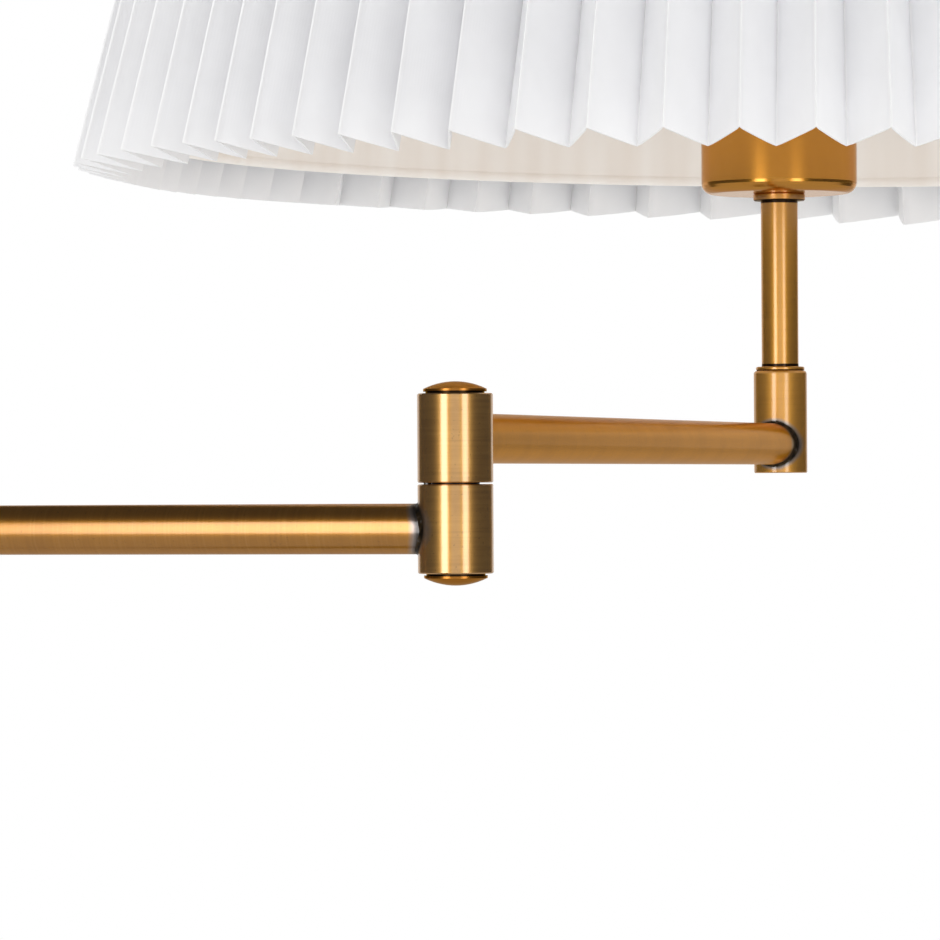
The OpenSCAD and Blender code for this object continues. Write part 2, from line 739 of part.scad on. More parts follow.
// The flex from the elbow's seam through the forearm and the stem to the lampholder
module forearm_flex() {
    rise = seam_gap + barrel_h / 2 - flex_bend_r;
    color(flex_gold) at_elbow_upper() wire_path(flex_d, [
        [rise, 90, flex_bend_r],
        [forearm_l - 2 * flex_bend_r, -90, -flex_bend_r],
        [nipple_top - flex_bend_r, 0, 0]
    ]);
}

module wrist_barrel() {
    shoulder = 1.2;
    color(brass) at_head(0) difference() {
        rotate_extrude() polygon(concat(
            [[0, -wrist_below], [wrist_r - barrel_edge, -wrist_below], [wrist_r, barrel_edge - wrist_below]],
            arc([wrist_r - shoulder, wrist_above - shoulder], shoulder, 0, 90),
            [[0, wrist_above]]
        ));
        translate([0, 0, -wrist_below - cut])
            cylinder(d = wrist_cavity_d, h = wrist_below + wrist_above - wrist_web_h + cut);
        translate([0, 0, nipple_foot - cut]) cylinder(r = stud_r, h = wrist_web_h + 2 * cut);
        rotate([0, 0, forearm_heading]) rotate([0, -90, 0]) cylinder(r = arm_bore_r, h = wrist_d);
    }
}

module wrist_plug() {
    color(brass) at_head(-wrist_below) cylinder(d = wrist_cavity_d, h = wrist_plug_h);
}

module wrist_washer() {
    color(brass) at_head(wrist_above) difference() {
        chamfered_bar(wrist_washer_d / 2, wrist_washer_h, barrel_edge);
        translate([0, 0, -cut]) cylinder(r = stud_r + drop_gap, h = wrist_washer_h + 2 * cut);
    }
}

module stem_tube() { color(brass) at_head(stem_foot) tube(stem_r, stud_r + drop_gap, stem_l); }

module stem_nipple() {
    color(steel) at_head(nipple_foot) tube(stud_r, stud_bore / 2, nipple_top - nipple_foot);
}

module cup_flange() {
    color(brass) at_head(stem_top) difference() {
        chamfered_bar(flange_d / 2, flange_h, barrel_edge);
        translate([0, 0, -cut]) cylinder(r = stud_r + drop_gap, h = flange_h + 2 * cut);
    }
}

module cup() {
    cup_r = cup_d / 2;
    inner_edge = cup_edge_r - cup_wall;
    color(brass) at_head(cup_bottom) difference() {
        rotate_extrude() polygon(concat(
            [[0, 0]],
            arc([cup_r - cup_edge_r, cup_edge_r], cup_edge_r, 270, 360),
            [[cup_r, cup_h], [0, cup_h]]
        ));
        rotate_extrude() polygon(concat(
            [[0, cup_wall]],
            arc([cup_r - cup_edge_r, cup_edge_r], inner_edge, 270, 360),
            [[cup_r - cup_wall, cup_h + cut], [0, cup_h + cut]]
        ));
        translate([0, 0, -cut]) cylinder(r = stud_r + drop_gap, h = cup_wall + 2 * cut);
    }
}

module cup_nut() { color(steel) at_head(saddle_top) hex_nut(cup_nut_af, nut_h); }

// ---------- Lampholder ----------

// The domed cap, screwed on the nipple
module holder_cap() {
    cone_top = holder_neck_h + 5;
    wall = holder_wall;
    color(brass_dull) at_head(holder_foot) difference() {
        rotate_extrude() polygon([
            [0, 0], [holder_neck_r, 0], [holder_neck_r, holder_neck_h], [holder_r, cone_top],
            [holder_r, holder_cap_h], [0, holder_cap_h]
        ]);
        rotate_extrude() polygon([
            [0, holder_neck_h + wall], [holder_neck_r - wall, holder_neck_h + wall],
            [holder_r - wall, cone_top + wall],
            [holder_r - wall, holder_cap_h + cut], [0, holder_cap_h + cut]
        ]);
        translate([0, 0, -cut]) cylinder(r = stud_r, h = holder_neck_h + wall + 2 * cut);
    }
}

// The moulded core with its recesses for the screw shell and the centre contact
module holder_core() {
    foot = holder_cap_top - 4;
    top = screw_top - 8;
    screw_r = screw_bore_r + screw_wall;
    color(dark_plastic) at_head(foot) difference() {
        cylinder(r = core_r, h = top - foot);
        translate([0, 0, screw_foot - foot]) cylinder(r = screw_r, h = screw_l);
        translate([0, 0, contact_foot - foot]) cylinder(d = contact_d, h = contact_h);
    }
}

module holder_sleeve() {
    top = holder_top - 1;
    color(liner_cream) at_head(holder_cap_top) tube(holder_r - holder_wall, core_r, top - holder_cap_top);
}

module holder_shell() {
    color(brass) at_head(holder_cap_top) tube(holder_r, holder_r - holder_wall, holder_top - holder_cap_top);
}

module screw_shell() {
    outer_r = screw_bore_r + screw_wall;
    color(brass_dull) at_head(screw_foot) difference() {
        cylinder(r = outer_r, h = screw_l);
        translate([0, 0, screw_wall]) cylinder(r = screw_bore_r, h = screw_l);
        translate([0, 0, -cut]) cylinder(d = contact_d + 2 * contact_gap, h = 2 * cut);
    }
}

// The contact is sunk in the core, level with the screw shell's floor
module centre_contact() { color(brass) at_head(contact_foot) cylinder(d = contact_d, h = contact_h); }

// ---------- Harp ----------

module each_side() {
    for (turn = [0, 180]) rotate([0, 0, turn]) children();
}

// The saddle: a strip with two upturned ends, each with a peg for its sleeve
module harp_saddle() {
    outer = harp_foot_at + saddle_t / 2;
    peg_root = 2;
    color(brass_dull) at_head(cup_floor) difference() {
        union() {
            translate([-stud_d - saddle_w / 4, -saddle_w / 2, 0])
                cube([2 * stud_d + saddle_w / 2, saddle_w, saddle_t]);
            translate([-outer, -saddle_w / 4, 0]) cube([2 * outer, saddle_w / 2, saddle_t]);
            each_side() {
                translate([outer - saddle_t, -saddle_w / 4, 0]) cube([saddle_t, saddle_w / 2, saddle_h]);
                translate([harp_foot_at, 0, saddle_h - peg_root])
                    cylinder(d = harp_wire_d, h = ferrule_l / 2 + peg_root);
            }
        }
        translate([0, 0, -cut]) cylinder(r = stud_r + drop_gap, h = saddle_t + 2 * cut);
    }
}

module harp_ferrules() {
    color(brass) at_head(cup_floor + saddle_h) each_side()
        translate([harp_foot_at, 0, 0]) tube(ferrule_d / 2, harp_wire_d / 2, ferrule_l);
}

// Half of the harp's centre line, from a foot to the top: [x, height, heading from +Z to +X]
function harp_half() = concat(
    [[harp_foot_at, harp_leg_foot, 0]],
    [for (h = [0:harp_bend / 4:harp_bend])
        [harp_foot_at + harp_bend_r * (1 - cos(h)), harp_leg_foot + harp_rise + harp_bend_r * sin(h), h]],
    [for (h = [harp_bend:-harp_bend / 4:0])
        [harp_half_w - harp_bend_r * (1 - cos(h)), harp_leg_top - harp_leg_l - harp_bend_r * sin(h), h]],
    [for (t = [0:7.5:90]) [harp_half_w * cos(t), harp_leg_top + harp_half_w * sin(t), -t]]
);

// The harp: one wire bent out, over the top and back in, and a flat top with its threaded stud
module harp() {
    sides = 10;
    half = harp_half();
    last = len(half) - 1;
    line = concat(half, [for (k = [1:last]) [-half[last - k].x, half[last - k].y, -180 - half[last - k].z]]);
    points = [for (c = line, a = [0:360 / sides:359])
        [
            c.x + harp_wire_d / 2 * cos(a) * cos(c.z),
            harp_wire_d / 2 * sin(a),
            c.y - harp_wire_d / 2 * cos(a) * sin(c.z)
        ]
    ];
    walls = [for (k = [0:len(line) - 2], i = [0:sides - 1])
        let (a = k * sides + i, b = k * sides + (i + 1) % sides)
        each [[a, a + sides, b + sides], [a, b + sides, b]]
    ];
    first_end = [for (i = [0:sides - 1]) i];
    last_end = [for (i = [sides - 1:-1:0]) (len(line) - 1) * sides + i];
    color(brass) at_head(0) {
        polyhedron(points, concat(walls, [first_end, last_end]));
        translate([0, 0, harp_top - harp_top_h - harp_wire_d])
            cylinder(d = harp_top_d, h = harp_top_h + harp_wire_d);
        translate([0, 0, harp_top - cut]) cylinder(d = harp_stud_d, h = harp_stud_l + cut);
    }
}

// ---------- Shade ----------

// The spider: a washer on the harp, sloping arms, and the ring that the shade's top is bound to
module shade_spider() {
    ring_r = fold_r(top_ring_down) - ring_in;
    ring_z = fold_z(top_ring_down);
    washer_mid = harp_top + spider_h / 2;
    inner = spider_d / 2 - ring_wire_d;
    run = [ring_r - inner, ring_z - washer_mid];
    color(steel) at_shade() {
        translate([0, 0, harp_top]) tube(spider_d / 2, harp_stud_d / 2 + drop_gap, spider_h);
        translate([0, 0, ring_z]) rotate_extrude($fn = 128) translate([ring_r, 0]) circle(d = ring_wire_d);
        for (i = [0:spider_arms - 1]) rotate([0, 0, 90 + i * 360 / spider_arms])
            translate([inner, 0, washer_mid]) rotate([0, 90 - atan2(run.y, run.x), 0])
                cylinder(d = ring_wire_d, h = norm(run));
    }
}

module shade_bottom_ring() {
    color(cloth_white) at_shade() translate([0, 0, fold_z(pleat_over)]) rotate_extrude($fn = 128)
        translate([fold_r(pleat_over) - ring_in, 0]) circle(d = ring_wire_d);
}

// The smooth liner, a plain cone between the two rings
module shade_liner() {
    low = pleat_over - ring_wire_d / 2;
    high = top_ring_down + ring_wire_d / 2;
    thick = liner_t / cos(slant);
    color(liner_cream) at_shade() rotate_extrude($fn = 128) polygon([
        [fold_r(low) - liner_out, fold_z(low)], [fold_r(high) - liner_out, fold_z(high)],
        [fold_r(high) - liner_out - thick, fold_z(high)], [fold_r(low) - liner_out - thick, fold_z(low)]
    ]);
}

// The pleated cloth: one closed sheet folded in and out, its ends square to the slant
module shade_cover() {
    folds = 2 * pleats;
    points = [
        for (inside = [false, true], up = [0, cover_l], i = [0:folds - 1]) pleat_point(i, up, inside)
    ];
    // Corner numbers of the four rows: outside low and high, inside low and high
    function at(row, i) = row * folds + i % folds;
    function strip(a, b) = [
        for (i = [0:folds - 1]) each [
            [at(a, i), at(b, i), at(b, i + 1)],
            [at(a, i), at(b, i + 1), at(a, i + 1)]
        ]
    ];
    color(cloth_white) at_shade()
        polyhedron(points, concat(strip(1, 3), strip(3, 2), strip(2, 0), strip(0, 1)));
}

module finial() {
    neck_d = 0.75 * finial_foot_d;
    ball_z = finial_foot_h + finial_neck_h + finial_d / 2 - 1;
    color(brass) at_head(finial_z) difference() {
        union() {
            chamfered_bar(finial_foot_d / 2, finial_foot_h, barrel_edge);
            cylinder(d = neck_d, h = ball_z);
            translate([0, 0, ball_z]) sphere(d = finial_d);
        }
        translate([0, 0, -cut]) cylinder(d = harp_stud_d, h = harp_top + harp_stud_l - finial_z + cut);
    }
}

base_felt();
base_weight();
base_shell();
base_nipple();
base_washer();
base_nut();
foot_collar();
cord_bush();
pole_lower();
pole_middle();
pole_upper();
pole_couplers();
stand_flex();
shoulder_socket();
shoulder_stud();
shoulder_nuts();
shoulder_wave_washer();
shoulder_seam_washer();
shoulder_stop_pin();
shoulder_barrel();
shoulder_cap();
lower_arm_tube();
lower_arm_braze();
lower_arm_flex();
elbow_lower_barrel();
elbow_bottom_cap();
elbow_stud();
elbow_nuts();
elbow_wave_washer();
elbow_seam_washer();
elbow_stop_pin();
elbow_upper_barrel();
elbow_top_cap();
forearm_tube();
forearm_braze();
forearm_flex();
wrist_barrel();
wrist_plug();
wrist_washer();
stem_tube();
stem_nipple();
cup_flange();
cup();
cup_nut();
harp_saddle();
harp_ferrules();
harp();
holder_cap();
holder_core();
holder_sleeve();
holder_shell();
screw_shell();
centre_contact();
shade_spider();
shade_bottom_ring();
shade_liner();
shade_cover();
finial();
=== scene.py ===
import math

import bpy
import bmesh
from mathutils import Matrix, Vector


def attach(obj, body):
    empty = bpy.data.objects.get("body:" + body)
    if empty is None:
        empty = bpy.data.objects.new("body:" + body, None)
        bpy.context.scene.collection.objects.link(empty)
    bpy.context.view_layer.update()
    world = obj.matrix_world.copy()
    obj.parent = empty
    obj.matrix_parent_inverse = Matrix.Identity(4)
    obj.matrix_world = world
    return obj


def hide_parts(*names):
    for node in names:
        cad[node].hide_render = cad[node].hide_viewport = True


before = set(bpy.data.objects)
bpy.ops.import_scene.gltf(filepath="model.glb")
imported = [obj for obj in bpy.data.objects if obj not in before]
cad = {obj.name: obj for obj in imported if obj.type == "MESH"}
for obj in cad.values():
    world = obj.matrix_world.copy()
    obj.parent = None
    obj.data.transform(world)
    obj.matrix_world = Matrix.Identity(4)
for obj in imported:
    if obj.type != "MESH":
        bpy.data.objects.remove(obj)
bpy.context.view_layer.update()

# ---------- The camera ----------
# A long lens, level with the arms, 1.4 m in front of the pole. Its place and turn are the ones
# that lay the lamp's own edges over those of the photograph.
camera_at = Vector((0.3104, -1.40098, 1.12674))
looking, tipped, rolled = math.radians(0.397), math.radians(0.104), math.radians(-0.332)
picture_width, focal_length = 940, 4956.1  # both in pixels
ahead = Vector((math.sin(looking) * math.cos(tipped), math.cos(looking) * math.cos(tipped),
                math.sin(tipped)))
level = Vector((math.cos(looking), -math.sin(looking), 0))
above = level.cross(ahead)
right = level * math.cos(rolled) + above * math.sin(rolled)
upward = above * math.cos(rolled) - level * math.sin(rolled)
lens = bpy.data.cameras.new("camera")
lens.sensor_width = 36
lens.lens = focal_length * 36 / picture_width
lens.clip_start, lens.clip_end = 0.05, 60
camera = bpy.data.objects.new("camera", lens)
turned = Matrix((right, upward, -ahead)).transposed().to_4x4()
camera.matrix_world = Matrix.Translation(camera_at) @ turned
bpy.context.scene.collection.objects.link(camera)
bpy.context.scene.camera = camera
bpy.context.scene.view_settings.view_transform = "Standard"


# ---------- The studio ----------
# A white surround over a pale floor. Three soft boxes and the dim cards round, over and under the
# lamp show only in the brass. A key box from the right lights only what is matt, so that each
# pleat has a light and a dark side.
def srgb(code):
    """A linear colour from its sRGB hex code."""
    parts = [int(code[i:i + 2], 16) / 255 for i in (1, 3, 5)]
    return (*[c / 12.92 if c <= 0.04045 else ((c + 0.055) / 1.055) ** 2.4 for c in parts], 1)


def add(tree, kind, feeds=(), **settings):
    """Adds a node with its settings, feeds its inputs by name or place and gives its first output."""
    made = tree.nodes.new(kind)
    for name, value in settings.items():
        setattr(made, name, value)
    inputs = [s for s in made.inputs if s.enabled]
    for key, value in (feeds.items() if isinstance(feeds, dict) else enumerate(feeds)):
        socket = inputs[key] if isinstance(key, int) else next(s for s in inputs if s.name == key)
        if isinstance(value, bpy.types.NodeSocket):
            tree.links.new(value, socket)
        else:
            socket.default_value = value
    return next((s for s in made.outputs if s.enabled), None)


world = bpy.data.worlds.new("white surround")
bpy.context.scene.world = world
world.use_nodes = True
air = world.node_tree
air.nodes.clear()
rays = add(air, "ShaderNodeLightPath").node.outputs
seen = add(air, "ShaderNodeMath", [rays["Is Camera Ray"], rays["Is Glossy Ray"]], operation="MAXIMUM")
seen = add(air, "ShaderNodeMath", [seen, rays["Is Transmission Ray"]], operation="MAXIMUM")
fill = add(air, "ShaderNodeBackground", [srgb("#ffffff"), 1.03])
plain = add(air, "ShaderNodeBackground", [srgb("#ffffff"), 1.0])
add(air, "ShaderNodeOutputWorld", [add(air, "ShaderNodeMixShader", [seen, fill, plain])])


def soft_box(name, at, towards, wide, high, watts, in_brass=True):
    """A rectangular lamp that lights either the shiny surfaces or the matt ones."""
    lamp = bpy.data.lights.new(name, "AREA")
    lamp.shape, lamp.size, lamp.size_y, lamp.energy = "RECTANGLE", wide, high, watts
    box = bpy.data.objects.new(name, lamp)
    box.location = at
    box.rotation_mode = "QUATERNION"
    box.rotation_quaternion = (Vector(towards) - Vector(at)).to_track_quat("-Z", "Y")
    box.visible_camera, box.visible_glossy, box.visible_diffuse = False, in_brass, not in_brass
    bpy.context.scene.collection.objects.link(box)


near_elbow = (0.32, -0.1, 1.15)
soft_box("left_box", (-0.58, -1.42, 1.32), near_elbow, 0.56, 1.43, 12.0)
soft_box("right_box", (1.12, -1.48, 1.08), near_elbow, 0.5, 1.9, 10.4)
soft_box("front_box", (0.3, -2.3, 1.25), (0.3, -0.1, 1.15), 1.1, 1.5, 4.2)
soft_box("key_box", (1.0, -2.2, 1.5), (0.3, 0, 1.3), 1.2, 1.2, 5.0, in_brass=False)


def studio_card(name, corners, faces, light):
    """A sheet of the studio. One with a light shows only in shiny surfaces, as a glow that strong."""
    sheet = bpy.data.meshes.new(name)
    sheet.from_pydata(corners, [], faces)
    card = bpy.data.objects.new(name, sheet)
    bpy.context.scene.collection.objects.link(card)
    finish = bpy.data.materials.new(name)
    finish.use_nodes = True
    sheet.materials.append(finish)
    if light is not None:
        shader = finish.node_tree.nodes["Principled BSDF"]
        shader.inputs["Base Color"].default_value = (0, 0, 0, 1)
        shader.inputs["Specular IOR Level"].default_value = 0
        shader.inputs["Emission Color"].default_value = (1, 1, 1, 1)
        shader.inputs["Emission Strength"].default_value = light
        card.visible_camera = card.visible_diffuse = False
        card.visible_shadow = card.visible_transmission = False
    return finish


def points_round(radius, height, degrees, middle=0.0):
    """Points of a level circle about the upright axis at x = middle."""
    turns = [math.radians(a) for a in degrees]
    return [(middle + radius * math.cos(a), radius * math.sin(a), height) for a in turns]


grey, floor_glow, lamp_middle, floor_r = 0.1, 0.62, 0.3, 9
wall_turns, roof_turns, floor_turns = range(-230, 51, 5), range(0, 360, 10), range(0, 360, 5)
wall_foot, wall_top = [points_round(3.2, z, wall_turns, lamp_middle) for z in (0, 2.9)]
wall_points = [point for pair in zip(wall_foot, wall_top) for point in pair]
wall_faces = [(2 * i, 2 * i + 1, 2 * i + 3, 2 * i + 2) for i in range(len(wall_turns) - 1)]
one_face = [tuple(range(len(roof_turns)))]
studio_card("grey_wall", wall_points, wall_faces, grey)
studio_card("grey_roof", points_round(3.4, 2.95, roof_turns, lamp_middle), one_face, grey)
studio_card("dim_floor", points_round(floor_r, 0.0004, roof_turns), one_face, floor_glow)
floor_face = [tuple(range(len(floor_turns)))]
floor_finish = studio_card("pale_floor", points_round(floor_r, 0, floor_turns), floor_face, None)
floor_tree = floor_finish.node_tree
floor_shader = floor_tree.nodes["Principled BSDF"]
floor_cloud = add(floor_tree, "ShaderNodeTexNoise", {"Scale": 1.5, "Detail": 2.0})
floor_tint = add(floor_tree, "ShaderNodeMix", [floor_cloud, srgb("#eeeeec"), srgb("#f2f2f1")],
                 data_type="RGBA")
floor_tree.links.new(floor_tint, floor_shader.inputs["Base Color"])
floor_shader.inputs["Roughness"].default_value = 0.9


# ---------- Felt pad ----------
# A disc of dark green wool felt glued under the foot, so that the iron doesn't scratch the floor.
# Its cut edge is soft and a little rounded.
def start_finish(name):
    """A new material: its tree, its shader and the piece's own coordinates, in metres."""
    made = bpy.data.materials.new(name)
    made.use_nodes = True
    tree = made.node_tree
    return made, tree, tree.nodes["Principled BSDF"], add(tree, "ShaderNodeTexCoord").node.outputs["Object"]


def feed(shader, **values):
    """Sets a shader's sockets; a name's underscores stand for spaces."""
    for name, value in values.items():
        socket = shader.inputs[name.replace("_", " ")]
        if isinstance(value, bpy.types.NodeSocket):
            shader.id_data.links.new(value, socket)
        else:
            socket.default_value = value


def ramp(tree, value, low, high, start=0.0, end=1.0):
    """Turns a value between low and high into one between start and end."""
    return add(tree, "ShaderNodeMapRange", {"Value": value, "From Min": low, "From Max": high,
                                            "To Min": start, "To Max": end})


def blend_tint(tree, share, under, over):
    return add(tree, "ShaderNodeMix", [share, under, over], data_type="RGBA")


def bumps(tree, strength, depth, height):
    return add(tree, "ShaderNodeBump", {"Strength": strength, "Distance": depth, "Height": height})


def dress(finish, *names):
    """Gives CAD nodes a finish."""
    for name in names:
        cad[name].data.materials.clear()
        cad[name].data.materials.append(finish)


def new_piece(name, points, faces, finish, body, replaced, crease=30):
    """A mesh piece in the row's frame, which rides on a body and stands for CAD nodes."""
    shape = bpy.data.meshes.new(name)
    shape.from_pydata([tuple(p) for p in points], [], faces)
    shape.validate()
    return settle(name, shape, finish, body, replaced, crease)


def settle(name, shape, finish, body, replaced, crease):
    """Makes a piece of a mesh, smooth but for edges sharper than the crease, in degrees."""
    shape.name = name
    shape.shade_smooth()
    shape.set_sharp_from_angle(angle=math.radians(crease))
    shape.materials.clear()
    shape.materials.append(finish)
    piece = bpy.data.objects.new(name, shape)
    bpy.context.scene.collection.objects.link(piece)
    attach(piece, body)
    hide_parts(*replaced)
    return piece


def faces_round(steps, count):
    """Faces between neighbouring copies of a closed outline of count points, all the way round."""
    def at(i, j):
        return i % steps * count + j % count

    return [(at(i, j), at(i + 1, j), at(i + 1, j + 1), at(i, j + 1))
            for i in range(steps) for j in range(count)]


def turned_shape(outline, steps=96, place=Matrix.Identity(4)):
    """Points and faces of a closed outline of (radius, height) turned about the z axis."""
    turns = [math.tau * i / steps for i in range(steps)]
    points = [place @ Vector((r * math.cos(a), r * math.sin(a), z)) for a in turns for r, z in outline]
    return points, faces_round(steps, len(outline))


felt, tree, shader, here = start_finish("wool felt")
tuft = add(tree, "ShaderNodeTexNoise", {"Vector": here, "Scale": 900.0, "Detail": 4.0, "Roughness": 0.7})
tone = add(tree, "ShaderNodeTexNoise", {"Vector": here, "Scale": 60.0, "Detail": 3.0})
tint = blend_tint(tree, ramp(tree, tone, 0.3, 0.7), srgb("#26322a"), srgb("#35443a"))
tint = blend_tint(tree, ramp(tree, tuft, 0.55, 0.8, 0, 0.5), tint, srgb("#56665a"))
feed(shader, Base_Color=tint, Roughness=0.95, Sheen_Weight=0.4, Normal=bumps(tree, 0.7, 0.0004, tuft))
felt_r, felt_h = 0.134, 0.002
felt_outline = [(0.0002, 0), (felt_r - 0.0008, 0), (felt_r - 0.0002, 0.0003), (felt_r, 0.001),
                (felt_r - 0.0002, 0.0017), (felt_r - 0.0006, felt_h), (0.0002, felt_h)]
pad_points, pad_faces = turned_shape(felt_outline, 128)
felt_pad = new_piece("felt_pad", pad_points, pad_faces, felt, "stand", ["base_felt"])

# ---------- Cast weight ----------
# Grey iron from a sand mould, painted black. It fills the foot and is seen only from below,
# where the felt stops at the nut.
iron, tree, shader, here = start_finish("painted cast iron")
sand = add(tree, "ShaderNodeTexNoise", {"Vector": here, "Scale": 700.0, "Detail": 4.0})
damp = add(tree, "ShaderNodeTexNoise", {"Vector": here, "Scale": 40.0, "Detail": 3.0})
feed(shader, Base_Color=blend_tint(tree, ramp(tree, damp, 0.4, 0.7), srgb("#2c2c2d"), srgb("#3d3a37")),
     Roughness=ramp(tree, sand, 0.3, 0.7, 0.5, 0.75), Specular_IOR_Level=0.4,
     Normal=bumps(tree, 0.5, 0.0005, sand))
dress(iron, "base_weight")


# ---------- Foot shell, collar and pole ----------
# Spun and drawn brass, brushed as it turns and then darkened: fine rings about each axis, brown
# clouds, and small dark specks under a thin satin lacquer.
def length_of(tree, vector):
    return add(tree, "ShaderNodeVectorMath", [vector], operation="LENGTH")


arm_r = 0.0067


def seam_distance(tree, here, barrel_at, way, barrel):
    """How far a point is, along either skin, from the seam where an arm leaves a barrel."""
    reach = add(tree, "ShaderNodeVectorMath", [here, barrel_at], operation="SUBTRACT")
    level_part = add(tree, "ShaderNodeVectorMath", [reach, (1, 1, 0)], operation="MULTIPLY")
    along_arm = add(tree, "ShaderNodeMath", [length_of(tree, level_part), barrel], operation="SUBTRACT")
    round_arm = add(tree, "ShaderNodeVectorMath", [reach, way], operation="CROSS_PRODUCT")
    round_arm = add(tree, "ShaderNodeMath", [length_of(tree, round_arm), arm_r], operation="SUBTRACT")
    far = length_of(tree, add(tree, "ShaderNodeCombineXYZ", [along_arm, round_arm]))
    behind = add(tree, "ShaderNodeVectorMath", [reach, way], operation="DOT_PRODUCT")
    return add(tree, "ShaderNodeMath", [far, ramp(tree, behind, 0.001, 0, 0, 1)], operation="ADD")


def antique_brass(name, axis, turn=(0, 0, 0), gold="#c69245", brown="#8a5a22", satin=0.34, line=0.0007,
                  show=1.0, coat=0.9, brazed=(), scorch=0.0022, painted_shadow_bands=()):
    """Brass brushed in rings a line apart round an axis through a point, in a pattern as strong as show.

    Its brazed seams are burnt as far as scorch reaches. Between the two heights of each of its
    painted shadow bands it is painted dark, with little coat: painted shade in the gaps under caps,
    washers and flanges."""
    made, tree, shader, here = start_finish(name)
    local = add(tree, "ShaderNodeMapping", {"Vector": here, "Location": axis, "Rotation": turn},
                vector_type="TEXTURE")
    x, y, z = add(tree, "ShaderNodeSeparateXYZ", [local]).node.outputs
    from_axis = length_of(tree, add(tree, "ShaderNodeCombineXYZ", [x, y]))
    ring = add(tree, "ShaderNodeMath", [z, from_axis], operation="ADD")
    rings = add(tree, "ShaderNodeVectorMath",
                [add(tree, "ShaderNodeCombineXYZ", [x, y, ring]), (45, 45, 1 / line)], operation="MULTIPLY")
    brush = add(tree, "ShaderNodeTexNoise", {"Vector": rings, "Scale": 1.0, "Detail": 2.0, "Roughness": 0.6})
    cloud = add(tree, "ShaderNodeTexNoise", {"Vector": here, "Scale": 75.0, "Detail": 4.0, "Roughness": 0.6})
    speck = add(tree, "ShaderNodeTexNoise", {"Vector": here, "Scale": 1300.0, "Detail": 1.0})
    tint = blend_tint(tree, ramp(tree, cloud, 0.42, 0.75, 0, 0.5 * show), srgb(gold), srgb(brown))
    tint = blend_tint(tree, ramp(tree, brush, 0.5, 0.8, 0, 0.3 * show), tint, srgb("#d9ab5e"))
    tint = blend_tint(tree, ramp(tree, brush, 0.48, 0.2, 0, 0.35 * show), tint, srgb("#6d4a1b"))
    tint = blend_tint(tree, ramp(tree, speck, 0.68, 0.75, 0, 0.4 * show), tint, srgb("#3f2a10"))
    rough = ramp(tree, brush, 0.25, 0.8, satin - 0.04 * show, satin + 0.05 * show)
    for barrel_at, way, barrel in brazed:
        far = seam_distance(tree, here, barrel_at, way, barrel)
        far = add(tree, "ShaderNodeMath", [cloud, -0.9 * scorch, far], operation="MULTIPLY_ADD")
        silver = ramp(tree, far, scorch, 0.35 * scorch, 0, 0.75)
        tint = blend_tint(tree, silver, tint, srgb("#8b8a8c"))
        soot = ramp(tree, far, 0.45 * scorch, 0.0, 0, 0.9)
        tint = blend_tint(tree, soot, tint, srgb("#211d1a"))
        rough = add(tree, "ShaderNodeMath", [soot, 0.15, rough], operation="MULTIPLY_ADD")
    # Painted shadow: dark brown and almost no coat between each band's two heights
    for bottom, top in painted_shadow_bands:
        over, under = ramp(tree, z, bottom - 0.0001, bottom), ramp(tree, z, top + 0.0001, top)
        in_painted_shadow = add(tree, "ShaderNodeMath", [over, under], operation="MULTIPLY")
        tint = blend_tint(tree, in_painted_shadow, tint, srgb("#2c1e10"))
        coat = add(tree, "ShaderNodeMath", [coat, ramp(tree, in_painted_shadow, 0, 1, 1, 0.1)], operation="MULTIPLY")
    feed(shader, Base_Color=tint, Metallic=1.0, Roughness=rough, Specular_Tint=srgb("#e6c690"),
         Coat_Weight=coat, Coat_Roughness=0.16, Coat_IOR=2.0, Normal=bumps(tree, 0.25 * show, 0.00003, brush))
    return made


at_pole = (0, 0, 0)
dress(antique_brass("spun brass foot", at_pole, satin=0.32, line=0.0012), "base_shell", "foot_collar")
dress(antique_brass("drawn brass pole", at_pole, satin=0.3), "pole_lower", "pole_middle", "pole_upper")
dress(antique_brass("turned brass coupler", at_pole, gold="#a97b34"), "pole_couplers")

# ---------- Nuts, washers and threaded tubes ----------
# Rolled steel with a zinc plate: pale grey with a faint spangle. The threads are rolled at 1 mm,
# and show as fine rings on the ends that stand out of the nuts.
zinc, tree, shader, here = start_finish("zinc plated steel")
spangle = add(tree, "ShaderNodeTexVoronoi", {"Vector": here, "Scale": 500.0}).node.outputs["Color"]
grey_tint = blend_tint(tree, ramp(tree, spangle, 0.2, 0.8), srgb("#9fa2a1"), srgb("#b9bab6"))
thread = add(tree, "ShaderNodeTexWave", {"Vector": here, "Scale": 318.0, "Distortion": 0.0},
             bands_direction="Z")
feed(shader, Base_Color=grey_tint, Metallic=1.0, Roughness=ramp(tree, spangle, 0, 1, 0.3, 0.42),
     Normal=bumps(tree, 0.4, 0.0003, thread))
dress(zinc, "base_nipple", "shoulder_stud", "elbow_stud", "stem_nipple")
washer, tree, shader, here = start_finish("pressed steel")
rolled_mark = add(tree, "ShaderNodeTexNoise", {"Vector": here, "Scale": 260.0, "Detail": 4.0})
feed(shader, Base_Color=blend_tint(tree, rolled_mark, srgb("#8f9190"), srgb("#bcbdb9")), Metallic=1.0,
     Roughness=ramp(tree, rolled_mark, 0.3, 0.7, 0.28, 0.45))
dress(washer, "base_washer", "base_nut", "shoulder_wave_washer", "elbow_wave_washer", "shoulder_stop_pin",
      "elbow_stop_pin", "cup_nut")
dress(antique_brass("milled brass nut", at_pole, gold="#b08136", satin=0.3, show=0.5), "shoulder_nuts",
      "elbow_nuts")

